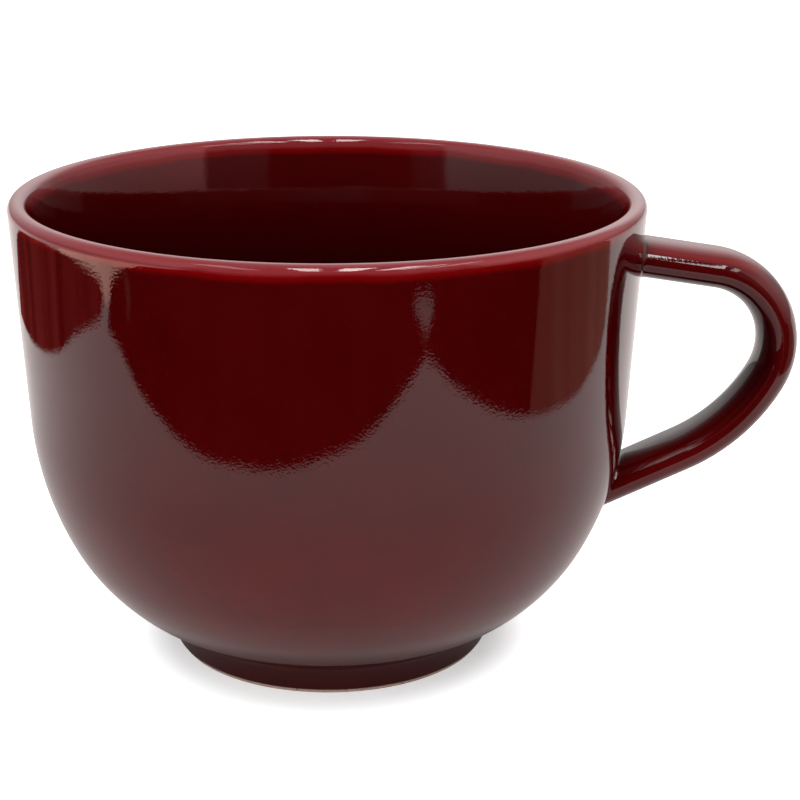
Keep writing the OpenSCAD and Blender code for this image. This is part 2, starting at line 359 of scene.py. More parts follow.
glass = add(nodes, "ShaderNodeBsdfPrincipled", {
    "Base Color": body, "Roughness": 0.02, "IOR": 1.5, "Normal": wave.outputs[0]})
add(nodes, "ShaderNodeOutputMaterial", {0: glass.outputs[0]})
print("material:", glaze.name, len(nodes.nodes), "nodes")

# %% [markdown]
# ## Bare stoneware
# The potter wipes the glaze off the ring that the mug stands on, or it would stick to the kiln shelf. The
# bare clay is a warm grey-buff and matt, with fine grog and small iron specks. The clay under the glaze
# gets the same finish, though nothing of it shows.

# %% The clay as a material
clay_dark = "#96796d"
clay_light = "#c2a898"
iron_brown = "#5b4034"
grog_size = 0.9
grog_height = 0.05
speck_spacing = 1.6
speck_core = 0.10
speck_edge = 0.18
stoneware, nodes = new_material("bare_stoneware")
place = add(nodes, "ShaderNodeTexCoord").outputs["Object"]
grog = add(nodes, "ShaderNodeTexNoise", {
    "Vector": place, "Scale": 1 / (grog_size * MM), "Detail": 4.0}).outputs[0]
clay = add(nodes, "ShaderNodeMix", {0: grog, 6: hex_colour(clay_dark), 7: hex_colour(clay_light)},
           data_type="RGBA")
speck = add(nodes, "ShaderNodeTexVoronoi", {"Vector": place, "Scale": 1 / (speck_spacing * MM)})
iron = add(nodes, "ShaderNodeMapRange", {0: speck.outputs[0], 1: speck_core, 2: speck_edge})
speckled = add(nodes, "ShaderNodeMix", {0: iron.outputs[0], 6: hex_colour(iron_brown), 7: clay.outputs[2]},
               data_type="RGBA")
rough = add(nodes, "ShaderNodeBump", {"Strength": 0.6, "Distance": grog_height * MM, "Height": grog})
matt = add(nodes, "ShaderNodeBsdfPrincipled", {
    "Base Color": speckled.outputs[2], "Roughness": 0.85, "IOR": 1.45, "Normal": rough.outputs[0]})
add(nodes, "ShaderNodeOutputMaterial", {0: matt.outputs[0]})
for name in ("bowl", "handle", "upper_slip", "lower_slip"):
    clay_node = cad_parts[name]
    clay_node.data.materials.clear()
    clay_node.data.materials.append(stoneware)
print("material:", stoneware.name, len(nodes.nodes), "nodes")

# %% [markdown]
# ## A potter's wheel in Geometry Nodes
# Every turned piece follows one rule, so one tree makes them all. It takes the points of an outline, lays
# out a grid with one row of points for each stop round the axis, and swings each row to its angle. The
# last row lands on the first, and points on the axis land on each other, so Merge by Distance closes the
# seam and the poles. Edges that turn sharply, such as the end of a coat of glaze, are kept sharp. A
# modelled Spin would do the same once, but the tree stays in one place for all six turned pieces.

# %% The tree that turns an outline
STOPS_AROUND = 257
merge_gap = 0.0005
crisp_angle = 40


def new_tree(name, inputs):
    """An empty Geometry Nodes tree with named inputs, and its input node."""
    tree = bpy.data.node_groups.new(name, "GeometryNodeTree")
    tree.interface.new_socket("Geometry", in_out="OUTPUT", socket_type="NodeSocketGeometry")
    for label, kind in inputs.items():
        tree.interface.new_socket(label, in_out="INPUT", socket_type=kind)
    return tree, add(tree, "NodeGroupInput")


def close_tree(tree, mesh, finish):
    """Ends a tree: seams merged, sharp turns kept sharp, instances made real and the finish set."""
    merged = add(tree, "GeometryNodeMergeByDistance", {"Geometry": mesh, "Distance": merge_gap * MM})
    smooth = add(tree, "GeometryNodeSetShadeSmooth",
                 {0: merged.outputs[0], "Shade Smooth": True}, domain="FACE")
    angle = add(tree, "GeometryNodeInputMeshEdgeAngle").outputs[0]
    sharp = add(tree, "FunctionNodeCompare", {0: angle, 1: math.radians(crisp_angle)},
                operation="GREATER_THAN")
    crisp = add(tree, "GeometryNodeSetShadeSmooth",
                {0: smooth.outputs[0], "Selection": sharp.outputs[0], "Shade Smooth": False}, domain="EDGE")
    real = add(tree, "GeometryNodeRealizeInstances", {0: crisp.outputs[0]})
    dressed = add(tree, "GeometryNodeSetMaterial", {0: real.outputs[0], "Material": finish})
    add(tree, "NodeGroupOutput", {0: dressed.outputs[0]})


def grid_of_stops(tree, outline, rows):
    """A grid with a row of the outline's points for each stop, and each point's number and turn."""
    count = add(tree, "GeometryNodeAttributeDomainSize", {0: outline}).outputs["Point Count"]
    grid = add(tree, "GeometryNodeMeshGrid", {"Vertices X": rows, "Vertices Y": count})
    number = add(tree, "GeometryNodeInputIndex").outputs[0]
    stop = add(tree, "FunctionNodeIntegerMath", {0: number, 1: count}, operation="MODULO")
    row = add(tree, "FunctionNodeIntegerMath", {0: number, 1: count}, operation="DIVIDE_FLOOR")
    last = add(tree, "ShaderNodeMath", {0: rows, 1: 1.0}, operation="SUBTRACT")
    share = add(tree, "ShaderNodeMath", {0: row.outputs[0], 1: last.outputs[0]}, operation="DIVIDE")
    turn = add(tree, "ShaderNodeMath", {0: share.outputs[0], 1: math.tau}, operation="MULTIPLY")
    return grid.outputs["Mesh"], stop.outputs[0], turn.outputs[0]


def at_stop(tree, outline, value, stop):
    """A vector value of the outline's point with that number."""
    return add(tree, "GeometryNodeSampleIndex", {"Geometry": outline, "Value": value, "Index": stop},
               data_type="FLOAT_VECTOR", domain="POINT").outputs[0]


wheel, start = new_tree("turn_on_the_wheel", {
    "Outline": "NodeSocketGeometry", "Stops Around": "NodeSocketInt", "Finish": "NodeSocketMaterial"})
mesh, stop, turn = grid_of_stops(wheel, start.outputs["Outline"], start.outputs["Stops Around"])
place = at_stop(wheel, start.outputs["Outline"], add(wheel, "GeometryNodeInputPosition").outputs[0], stop)
swung = add(wheel, "ShaderNodeVectorRotate", {"Vector": place, "Angle": turn}, rotation_type="Z_AXIS")
turned = add(wheel, "GeometryNodeSetPosition", {"Geometry": mesh, "Position": swung.outputs[0]})
close_tree(wheel, turned.outputs[0], start.outputs["Finish"])
print("tree:", wheel.name, len(wheel.nodes), "nodes")


# %% [markdown]
# ## From a tree to a plain mesh
# A tree runs as a modifier on an object that holds only the points of an outline. Its result is then kept
# as a plain mesh and the modifier goes, so what is shown and measured is the same mesh. A closed
# mesh with a negative volume is inside out, which is a quick test for the way that its faces point.

# %% Helpers that run a tree and keep its result
ML_PER_CUBIC_METRE = 1e6


def outline_object(name, points, attributes=None):
    """A mesh of loose points in metres, from millimetres, with any attributes that the tree will read."""
    mesh = bpy.data.meshes.new(name)
    mesh.from_pydata([MM * Vector(p) for p in points], [], [])
    for label, values in (attributes or {}).items():
        layer = mesh.attributes.new(label, "FLOAT_VECTOR", "POINT")
        for i, value in enumerate(values):
            layer.data[i].vector = MM * Vector(value)
    piece = bpy.data.objects.new(name, mesh)
    bpy.context.scene.collection.objects.link(piece)
    return piece


def keep_outward(mesh):
    """Turns the faces round if the closed mesh has them pointing inwards, and returns its volume in ml."""
    work = bmesh.new()
    work.from_mesh(mesh)
    if work.calc_volume(signed=True) < 0:
        bmesh.ops.reverse_faces(work, faces=work.faces)
        work.to_mesh(mesh)
    volume = work.calc_volume(signed=True) * ML_PER_CUBIC_METRE
    work.free()
    return volume


def run_tree(piece, tree, values):
    """Runs a tree on a piece, then keeps the result as a plain mesh with no modifier."""
    modifier = piece.modifiers.new("make", "NODES")
    modifier.node_group = tree
    for item in tree.interface.items_tree:
        if item.in_out == "INPUT" and item.name in values:
            modifier[item.identifier] = values[item.name]
    evaluated = piece.evaluated_get(bpy.context.evaluated_depsgraph_get())
    made = bpy.data.meshes.new_from_object(evaluated)
    piece.modifiers.remove(modifier)
    piece.data = made
    made.name = piece.name
    volume = keep_outward(made)
    print(f"{piece.name}: {len(made.polygons)} faces, {volume:.2f} ml")
    return piece


def turn_piece(name, outline, finish):
    """A turned piece from a closed outline of radii and heights."""
    closed = [(p.x, 0, p.y) for p in outline + outline[:1]]
    return run_tree(outline_object(name, closed), wheel, {"Stops Around": STOPS_AROUND, "Finish": finish})


def stand_in(piece, node):
    """The piece rides with the mug and stands for one solid, which it hides."""
    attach(piece, "root")
    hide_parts(node)


# %% [markdown]
# ## The coats of glaze on the bowl
# The glaze is what the eye sees, so each coat is a thin closed shell of its own: the outside, the lip and
# the inside. They share their edges, so the surface runs on from one to the next. A painted bowl would be
# simpler, but it would have no edge where the glaze ends. The inside is painted darker some way below the
# rim, as painted shade, and less so towards the floor. The inside also keeps the slow swell of throwing.

# %% Outside, rim and inside
outside_coat = turn_piece("mug_outside_glaze", shell(outside_stretch), glaze)
stand_in(outside_coat, "outside_glaze")
rim_coat = turn_piece("mug_rim_glaze", shell(rim_stretch), glaze)
stand_in(rim_coat, "rim_glaze")
inside_coat = turn_piece("mug_inside_glaze", shell(inside_stretch), glaze)


def ease(value, start, end):
    """Share from 0 to 1 as a value passes from a start to an end."""
    return min(max((value - start) / (end - start), 0), 1)


def keep_on_vertices(piece, label, rule):
    """Keeps a number on each vertex, by a rule on its place in millimetres and its normal."""
    layer = piece.data.attributes.new(label, "FLOAT", "POINT")
    for vertex in piece.data.vertices:
        layer.data[vertex.index].value = rule(vertex.co / MM, vertex.normal)


shade_from = 11
shade_full = 28
floor_low = 14
floor_high = 52
floor_share = 0.2


def shade_inside(spot, normal):
    """Painted shade some way below the rim, and less of it again towards the floor."""
    below_rim = ease(spot.z, mug_h - shade_from, mug_h - shade_full)
    return below_rim * (floor_share + (1 - floor_share) * ease(spot.z, floor_low, floor_high))


# Painted shade inside the bowl.
keep_on_vertices(inside_coat, "painted_shade", shade_inside)
keep_on_vertices(inside_coat, "thrown", lambda spot, normal: 1.0)
stand_in(inside_coat, "inside_glaze")

# %% [markdown]
# ## The foot
# The foot is trimmed on the wheel when the clay is leather-hard. Its side leans in, a small hollow joins
# it to the belly, and a ring of bare clay touches the table. The edge of the glaze is a rounded bead,
# because melted glaze draws itself up before it sets. All three pieces are turned on the same wheel as the
# bowl.

# %% Foot ring, foot glaze and the glaze in the recess
edge_r = 0.25
edge_inset = 0.9
bead_h = 0.45
bead_gap = 0.02
side_stops = (2.6, 1.6)
recess_r = 1.6
recess_gap = 0.3


def foot_side(z, depth):
    """Point of the foot's side at a height, a depth below the glaze's surface."""
    up_side = z / math.cos(math.radians(foot_lean)) * heading(90 - foot_lean)
    return foot_p + up_side - depth * heading(-foot_lean)


def foot_stretch(depth):
    """The hollow and the foot's side, from the seam down to the edge of the glaze."""
    to_belly = belly_c - hollow_c
    high = math.degrees(math.atan2(to_belly.y, to_belly.x))
    hollow = arc(hollow_c, foot_fillet + depth, high, 180 - foot_lean, step=4)
    return hollow + [foot_side(z, depth) for z in side_stops]


bead = []
for angle in range(90, -1, -15):
    rise = 1 - math.cos(math.radians(angle))
    inset = 1 - math.sin(math.radians(angle))
    bead.append(foot_side(bare_h + bead_gap + bead_h * rise, glaze_t * inset))
foot_coat = turn_piece("mug_foot_glaze", foot_stretch(0) + bead + foot_stretch(glaze_t)[::-1], glaze)
stand_in(foot_coat, "foot_glaze")

ring_edge = foot_side(0, glaze_t)
ring = foot_stretch(glaze_t)
ring += arc(Vector((ring_edge.x - edge_r * edge_inset, edge_r)), edge_r, -foot_lean, -90, step=15)
ring += arc(Vector((foot_in_r + edge_r, edge_r)), edge_r, -90, -180, step=15)
ring.append(Vector((foot_in_r, seam_z)))
foot_ring = turn_piece("mug_foot_ring", ring, stoneware)
stand_in(foot_ring, "foot_ring")

recess_c = Vector((foot_in_r - glaze_t - recess_r, seam_z - glaze_t - recess_r))
recess = [Vector((foot_in_r, bare_h)), Vector((foot_in_r, seam_z)), Vector((0, seam_z))]
recess += [Vector((0, seam_z - glaze_t))] + arc(recess_c, recess_r, 90, 0, step=10)
recess += [Vector((foot_in_r - glaze_t, bare_h + recess_gap))]
base_coat = turn_piece("mug_base_glaze", recess, glaze)
stand_in(base_coat, "base_glaze")

# %% [markdown]
# ## The strap handle
# A potter pulls the handle from a wet lump of clay into an oval strap, bends it and lutes both ends to the
# bowl. Its middle line is a short straight run, one tight bend, a slower sweep and a straight leg, each
# tangent to the last. A drawn spline would only come near that, and the solids follow these same arcs.

# %% The middle line of the strap
BEND_STOPS = 64
SWEEP_STOPS = 24
handle_t = 7.7
handle_w = 14.5
handle_drop = 12.6
run_heading = -8.5
handle_run = 14.9
handle_span = 46.2
leg_heading = -155
sweep_turn = 36.8
sweep_ratio = 2.32


def surface_x(z):
    """Radius of the outside of the glaze at a height."""
    if z > belly_z:
        return slant(lip_c, lip_r, z)
    centre, radius = (upper_c, upper_r) if z > belly_j.y else (belly_c, belly_r)
    return centre.x + math.sqrt(radius**2 - (z - centre.y) ** 2)


root_p = Vector((surface_x(mug_h - handle_drop), mug_h - handle_drop))
low_z = root_p.y - handle_span
low_p = Vector((surface_x(low_z), low_z))
run_end = root_p + handle_run * heading(run_heading)
sweep_heading = leg_heading + sweep_turn
turn_cos = math.cos(math.radians(sweep_turn))
bend_share = turn_cos + sweep_ratio * (1 - turn_cos) - math.cos(math.radians(run_heading - leg_heading))
bend_r = (low_p - run_end).dot(heading(leg_heading + 90)) / bend_share
sweep_r = sweep_ratio * bend_r
bend_c = run_end + bend_r * heading(run_heading - 90)
sweep_c = bend_c + (bend_r - sweep_r) * heading(sweep_heading + 90)


def strap_stops(start_in, end_in):
    """Points of the middle line, each with its heading, from inside the wall to inside the belly."""
    stops = [(root_p - start_in * heading(run_heading), run_heading)]
    stops += [(p, run_heading) for p in line(root_p, run_end)]
    for i in range(BEND_STOPS + 1):
        angle = run_heading + (sweep_heading - run_heading) * i / BEND_STOPS
        stops.append((bend_c + bend_r * heading(angle + 90), angle))
    for i in range(1, SWEEP_STOPS + 1):
        angle = sweep_heading - sweep_turn * i / SWEEP_STOPS
        stops.append((sweep_c + sweep_r * heading(angle + 90), angle))
    stops += [(p, leg_heading) for p in line(stops[-1][0], low_p)]
    return stops + [(low_p + end_in * heading(leg_heading), leg_heading)]


print(f"bend radius {bend_r:.2f}, sweep radius {sweep_r:.2f}")

# %% [markdown]
# ## A tree that pulls a strap
# The strap has the same oval section all along, so a second tree sets an oval ring at each stop of the
# middle line. Each stop carries two half-widths as attributes: "lift" across the thin way and "reach"
# across the broad way. A bevelled curve would do for one skin, but a coat of glaze needs an inside as
# well.

# %% The tree that pulls the strap
STRAP_SIDES = 65
puller, start = new_tree("pull_the_strap", {
    "Middle": "NodeSocketGeometry", "Sides": "NodeSocketInt", "Finish": "NodeSocketMaterial"})
middle = start.outputs["Middle"]
mesh, stop, turn = grid_of_stops(puller, middle, start.outputs["Sides"])
place = at_stop(puller, middle, add(puller, "GeometryNodeInputPosition").outputs[0], stop)
half_widths = []
for label, part in (("lift", "COSINE"), ("reach", "SINE")):
    stored = add(puller, "GeometryNodeInputNamedAttribute", {"Name": label},
                 data_type="FLOAT_VECTOR").outputs[0]
    share = add(puller, "ShaderNodeMath", {0: turn}, operation=part)
    half_widths.append(add(puller, "ShaderNodeVectorMath", {
        0: at_stop(puller, middle, stored, stop), "Scale": share.outputs[0]}, operation="SCALE").outputs[0])
off = add(puller, "ShaderNodeVectorMath", {0: half_widths[0], 1: half_widths[1]}, operation="ADD")
point = add(puller, "ShaderNodeVectorMath", {0: place, 1: off.outputs[0]}, operation="ADD")
pulled = add(puller, "GeometryNodeSetPosition", {"Geometry": mesh, "Position": point.outputs[0]})
close_tree(puller, pulled.outputs[0], start.outputs["Finish"])
print("tree:", puller.name, len(puller.nodes), "nodes")

# %% [markdown]
# ## The glaze round the strap
# The list of stops runs out along the surface of the glaze and back along the clay under it, so the coat
# is a closed sleeve. Its ends are buried in the bowl. The inner side of the loop gets painted shade, and the
# side of the strap that faces up and out gets painted light, so those two shares are worked out from the way
# that each vertex faces.

# %% The sleeve of glaze and its painted shade and light
upper_bury = 1.5
lower_bury = 3.8
stops = strap_stops(upper_bury, lower_bury)
there_and_back = [(p, a, 0) for p, a in stops] + [(p, a, glaze_t) for p, a in reversed(stops)]
there_and_back.append(there_and_back[0])
lift = []
reach = []
for p, a, depth in there_and_back:
    up = (handle_t / 2 - depth) * heading(a + 90)
    lift.append((up.x, 0, up.y))
    reach.append((0, handle_w / 2 - depth, 0))
middle_points = [(p.x, 0, p.y) for p, a, depth in there_and_back]
middle_line = outline_object("mug_handle_glaze", middle_points, {"lift": lift, "reach": reach})
handle_coat = run_tree(middle_line, puller, {"Sides": STRAP_SIDES, "Finish": glaze})
loop_c = sum((Vector((p.x, 0, p.y)) for p, a in stops), Vector()) / len(stops)
inner_side = (-0.4, -0.75)
outer_side = (0.2, 0.5)
broad_side = (-0.5, 0)
upper_side = (0.68, 0.8)
broad_share = 0.1


def outward(spot, normal):
    """How far a normal points away from the middle of the handle's loop."""
    away = Vector((spot.x - loop_c.x, 0, spot.z - loop_c.z))
    return normal.dot(away.normalized())


def shade_on_strap(spot, normal):
    """Painted shade where the strap faces the middle of the loop."""
    return ease(outward(spot, normal), *inner_side)


def thin_on_strap(spot, normal):
    """Painted light where the strap faces up and out, and a tenth of that on the rest of its outer side."""
    top = ease(normal.z, *upper_side) * ease(outward(spot, normal), *outer_side)
    return max(top, broad_share * ease(outward(spot, normal), *broad_side))


# Painted shade on the inner side of the loop, and painted light on the top of the strap.
keep_on_vertices(handle_coat, "painted_shade", shade_on_strap)
keep_on_vertices(handle_coat, "thin", thin_on_strap)
stand_in(handle_coat, "handle_glaze")

# %% [markdown]
# ## Glaze pooled round the roots
# Where the strap meets the bowl, the potter smooths a little clay into the crease and the glaze pools
# there. The pool is a small fillet, as if a ball were rolled round the joint: wide in the sharp corner
# above the lower root, and narrow in the blunt one below it. Each cross-section is a curve between the
# strap and the wall, closed behind. A bevel can't do this, because the strap and the wall are separate
# pieces.

# %% Fillets at the two roots
POOL_STOPS = 96
POOL_STEPS = 10
HALVINGS = 40
pool_r = 1.2
bury = 0.15
search = 12.0
slope_step = 0.01
pool_crisp = 50


def out_of_wall(p):
    """Nearest point of the outside at the same height and bearing, and the way out of the wall there."""
    bearing = Vector((p.x, p.y, 0)).normalized()
    slope = (surface_x(p.z + slope_step) - surface_x(p.z - slope_step)) / (2 * slope_step)
    out = (bearing - Vector((0, 0, slope))).normalized()
    return bearing * surface_x(p.z) + Vector((0, 0, p.z)), out


def crease_point(start, way):
    """Where a line along the strap reaches the outside of the wall."""
    low, high = -search, search
    for _ in range(HALVINGS):
        half = (low + high) / 2
        p = start + half * way
        outside = math.hypot(p.x, p.y) > surface_x(p.z)
        low, high = (low, half) if outside else (half, high)
    return start + low * way


def pool_section(root, away, angle):
    """Points of the fillet's cross-section at one angle round the strap."""
    way = Vector((heading(away).x, 0, heading(away).y))
    up = Vector((heading(away + 90).x, 0, heading(away + 90).y))
    across = Vector((0, 1, 0))
    side = handle_t / 2 * math.cos(angle) * up + handle_w / 2 * math.sin(angle) * across
    out = (math.cos(angle) / handle_t * up + math.sin(angle) / handle_w * across).normalized()
    crease = crease_point(Vector((root.x, 0, root.y)) + side, way)
    wall_out = out_of_wall(crease)[1]
    along = (out - out.dot(wall_out) * wall_out).normalized()
    size = pool_r / math.tan(along.angle(way) / 2)
    on_strap = crease + size * way
    on_wall, wall_out = out_of_wall(crease + size * along)
    curve = []
    for step in range(POOL_STEPS + 1):
        t = step / POOL_STEPS
        curve.append((1 - t) ** 2 * on_strap + 2 * t * (1 - t) * crease + t**2 * on_wall)
    return curve + [on_wall - bury * wall_out, crease - bury * (wall_out + out), on_strap - bury * out]


def pool_piece(name, root, away):
    """A closed ring of fillet round one root, where away is the strap's heading out of the wall."""
    sections = [pool_section(root, away, math.tau * i / POOL_STOPS) for i in range(POOL_STOPS)]
    count = len(sections[0])
    faces = []
    for i in range(POOL_STOPS):
        j = (i + 1) % POOL_STOPS
        for k in range(count):
            m = (k + 1) % count
            faces.append((i * count + k, i * count + m, j * count + m, j * count + k))
    mesh = bpy.data.meshes.new(name)
    mesh.from_pydata([MM * p for section in sections for p in section], [], faces)
    mesh.materials.append(glaze)
    mesh.shade_smooth()
    mesh.set_sharp_from_angle(angle=math.radians(pool_crisp))
    volume = keep_outward(mesh)
    piece = bpy.data.objects.new(name, mesh)
    bpy.context.scene.collection.objects.link(piece)
    print(f"{name}: {len(faces)} faces, {volume:.3f} ml")
    return piece


upper_pool = pool_piece("mug_upper_root_glaze", root_p, run_heading)
stand_in(upper_pool, "upper_root_glaze")
lower_pool = pool_piece("mug_lower_root_glaze", low_p, leg_heading + 180)
stand_in(lower_pool, "lower_root_glaze")


# %% [markdown]
# ## The white board
# A glossy pot shows what stands round it more than its own colour. Here it stands on a white board. To the
# camera the board is plain white, apart from the mug's soft shadow, so an emission is added to its diffuse
# paper and fades near the foot. Rays off the glaze get their own tones, which darken towards the foot,
# where a real board lies in the mug's shade.

# %% White floor
def stage_mesh(name, points, faces, finish):
    """A mesh in millimetres that belongs to the studio and not to the mug."""
    mesh = bpy.data.meshes.new(name)
    mesh.from_pydata([MM * Vector(p) for p in points], [], faces)
    mesh.materials.append(finish)
    card = bpy.data.objects.new(name, mesh)
    bpy.context.scene.collection.objects.link(card)
    return card


def mirror_share(path):
    """1 for rays off gloss or through glass."""
    return add(path.node.id_data, "ShaderNodeMath", {0: path, 1: path.node.outputs["Is Transmission Ray"]},
               operation="MAXIMUM").outputs[0]


def set_stops(ramp, stops):
    """Gives a colour ramp its stops, each a place from 0 to 1 and a colour, and returns its output."""
    elements = ramp.color_ramp.elements
    elements.remove(elements[1])
    for i, (spot, colour) in enumerate(stops):
        stop = elements[0] if i == 0 else elements.new(min(spot, 0.999))
        stop.position = spot
        stop.color = colour
    return ramp.outputs[0]


floor_white = 0.8
floor_half = 4000
shadow_place = (0, -2.5 * MM, 0)
shadow_from = 30
shadow_to = 44
shadow_least = 0.39
board_colour = (1.42, 1.3, 1.27, 1)
board_tones = ((30, 0.06), (35, 0.15), (40, 0.36), (50, 0.45), (100, 0.54), (200, 0.78), (320, 0.85))
tone_end = 400
paper, nodes = new_material("white_paper")
place = add(nodes, "ShaderNodeTexCoord").outputs["Object"]
path = add(nodes, "ShaderNodeLightPath").outputs
from_shadow = add(nodes, "ShaderNodeVectorMath", {0: place, 1: shadow_place},
                  operation="DISTANCE").outputs["Value"]
to_camera = add(nodes, "ShaderNodeMapRange", {
    0: from_shadow, 1: shadow_from * MM, 2: shadow_to * MM, 3: shadow_least, 4: 1.0},
    interpolation_type="SMOOTHSTEP").outputs[0]
whiten = add(nodes, "ShaderNodeMath", {0: path["Is Camera Ray"], 1: to_camera},
             operation="MULTIPLY").outputs[0]
glow = add(nodes, "ShaderNodeEmission", {"Color": (1, 1, 1, 1), "Strength": whiten})
shade = add(nodes, "ShaderNodeBsdfDiffuse", {"Color": (floor_white, floor_white, floor_white, 1)})
seen = add(nodes, "ShaderNodeAddShader", {0: glow.outputs[0], 1: shade.outputs[0]})
away = add(nodes, "ShaderNodeVectorMath", {0: place}, operation="LENGTH").outputs["Value"]
outwards = add(nodes, "ShaderNodeMapRange", {0: away, 1: 0.0, 2: tone_end * MM}).outputs[0]
tone = set_stops(add(nodes, "ShaderNodeValToRGB", {0: outwards}),
                 [(spot / tone_end, (t, t, t, 1)) for spot, t in board_tones])
mirrored = add(nodes, "ShaderNodeEmission", {"Color": board_colour, "Strength": tone})
sheet = add(nodes, "ShaderNodeMixShader", {
    0: mirror_share(path["Is Glossy Ray"]), 1: seen.outputs[0], 2: mirrored.outputs[0]})
add(nodes, "ShaderNodeOutputMaterial", {0: sheet.outputs[0]})
floor_corners = [(x * floor_half, y * floor_half, 0) for x, y in ((-1, -1), (1, -1), (1, 1), (-1, 1))]
stage_mesh("floor", floor_corners, [(0, 1, 2, 3)], paper)
print("floor:", 2 * floor_half, "mm across,", len(nodes.nodes), "nodes")

# %% [markdown]
# ## The room that the glaze mirrors
# The lip and the inside mirror the room over the board: bright behind the mug, warm on the right and dark
# behind the camera. A photograph of a room could give this, but a ramp round the horizon is enough for
# such blurred shapes. It is dimmer close to the horizon and towards the zenith. Plain light on the mug
# comes mostly from low down, and the camera sees only white.

# %% The surround
ambient = 0.8
zenith_light = 0.3
brightest = 1.8
haze_top = 24
haze_least = 0.38
ceiling_from = 35
ceiling_least = 0.4
# Each tone of the room: bearing in degrees from straight behind the mug, its red, and its green and blue.
room_tones = (
    (-180, 0.01, 0.01), (-146, 0.01, 0.01), (-144, 0.09, 0.09), (-131, 0.13, 0.13), (-129, 0.75, 0.75),
    (-65, 0.6, 0.6), (-35, 0.9, 0.9), (-10, 1.5, 1.5), (20, 1.8, 1.8), (42, 0.8, 0.7), (60, 1.4, 0.75),
    (124, 1.8, 0.75), (126, 0.2, 0.14), (152, 0.15, 0.13), (154, 0.01, 0.01), (180, 0.01, 0.01))
world = bpy.data.worlds.new("white_surround")
world.use_nodes = True
nodes = world.node_tree
nodes.nodes.clear()
bpy.context.scene.world = world
way = add(nodes, "ShaderNodeSeparateXYZ", {0: add(nodes, "ShaderNodeTexCoord").outputs["Generated"]}).outputs
bearing = add(nodes, "ShaderNodeMath", {0: way["X"], 1: way["Y"]}, operation="ARCTAN2").outputs[0]
along = add(nodes, "ShaderNodeMapRange", {0: bearing, 1: -math.pi, 2: math.pi}).outputs[0]
tones = [((angle + 180) / 360, (red / brightest, other / brightest, other / brightest, 1))
         for angle, red, other in room_tones]
room = set_stops(add(nodes, "ShaderNodeValToRGB", {0: along}), tones)
haze = add(nodes, "ShaderNodeMapRange", {
    0: way["Z"], 1: 0.0, 2: math.sin(math.radians(haze_top)), 3: haze_least, 4: 1.0}).outputs[0]
ceiling = add(nodes, "ShaderNodeMapRange", {
    0: way["Z"], 1: math.sin(math.radians(ceiling_from)), 2: 1.0,
    3: brightest, 4: ceiling_least * brightest}).outputs[0]
room_level = add(nodes, "ShaderNodeMath", {0: haze, 1: ceiling}, operation="MULTIPLY").outputs[0]
low_light = add(nodes, "ShaderNodeMapRange", {
    0: way["Z"], 1: 0.0, 2: 1.0, 3: ambient, 4: zenith_light * ambient}).outputs[0]
path = add(nodes, "ShaderNodeLightPath").outputs
gloss = mirror_share(path["Is Glossy Ray"])
lit = add(nodes, "ShaderNodeMix", {0: gloss, 2: low_light, 3: room_level}).outputs[0]
level = add(nodes, "ShaderNodeMix", {0: path["Is Camera Ray"], 2: lit, 3: 1.0}).outputs[0]
tint = add(nodes, "ShaderNodeMix", {0: gloss, 6: (1, 1, 1, 1), 7: room}, data_type="RGBA").outputs[2]
surround = add(nodes, "ShaderNodeBackground", {"Color": tint, "Strength": level})
add(nodes, "ShaderNodeOutputWorld", {0: surround.outputs[0]})
print("world:", world.name, len(room_tones), "tones")


# %% [markdown]
# ## Cards past the edges of the board
# The dark lobes on the bowl are what lies past the board's edges, mirrored in its wall. A photographer
# shapes such reflections with black and brown cards, and so does this cell. Each card lies flat on the
# table, with its edge where the edge of a lobe needs it, and only reflections see it. Streaks in its tone
# follow the bearing from the mug, so they stand upright in the mirror.

# %% Finishes of the cards
streak_scale = 9.0
streak_from = 0.35
streak_full = 0.65


def card_finish(name, dark, light):
    """A card whose tone varies with the bearing from the mug."""
    finish, tree = new_material(name)
    place = add(tree, "ShaderNodeTexCoord").outputs["Object"]
    flat = add(tree, "ShaderNodeVectorMath", {0: place, 1: (1, 1, 0)}, operation="MULTIPLY")
    bearing = add(tree, "ShaderNodeVectorMath", {0: flat.outputs[0]}, operation="NORMALIZE")
    streaks = add(tree, "ShaderNodeTexNoise", {
        "Vector": bearing.outputs[0], "Scale": streak_scale, "Detail": 4.0})
    share = add(tree, "ShaderNodeMapRange", {0: streaks.outputs[0], 1: streak_from, 2: streak_full})
    colour = add(tree, "ShaderNodeMix", {0: share.outputs[0], 6: dark, 7: light}, data_type="RGBA")
    tone = add(tree, "ShaderNodeEmission", {"Color": colour.outputs[2], "Strength": 1.0})
    add(tree, "ShaderNodeOutputMaterial", {0: tone.outputs[0]})
    return finish


card_tones = {
    "black_card": ((0.0, 0.0, 0.0, 1), (0.035, 0.006, 0.006, 1)),
    "brown_card": ((0.42, 0.18, 0.13, 1), (0.54, 0.25, 0.2, 1)),
    "dusk_card": ((0.1, 0.01, 0.01, 1), (0.42, 0.06, 0.05, 1)),
    "white_card": ((3.0, 1.8, 1.5, 1), (3.6, 2.2, 1.8, 1)),
    "pale_card": ((0.75, 0.66, 0.64, 1), (0.85, 0.78, 0.76, 1)),
    "grey_card": ((0.15, 0.1, 0.09, 1), (0.25, 0.18, 0.17, 1)),
}
card_finishes = {name: card_finish(name, dark, light) for name, (dark, light) in card_tones.items()}
print("card finishes:", ", ".join(card_finishes))

# %% [markdown]
# ## The shapes of the cards
# The front and right cards are the long lobes on the front of the bowl, and the two on the left its narrow
# one. The three small scraps are the short marks beside them, and lie a little higher so that they cover
# the others.

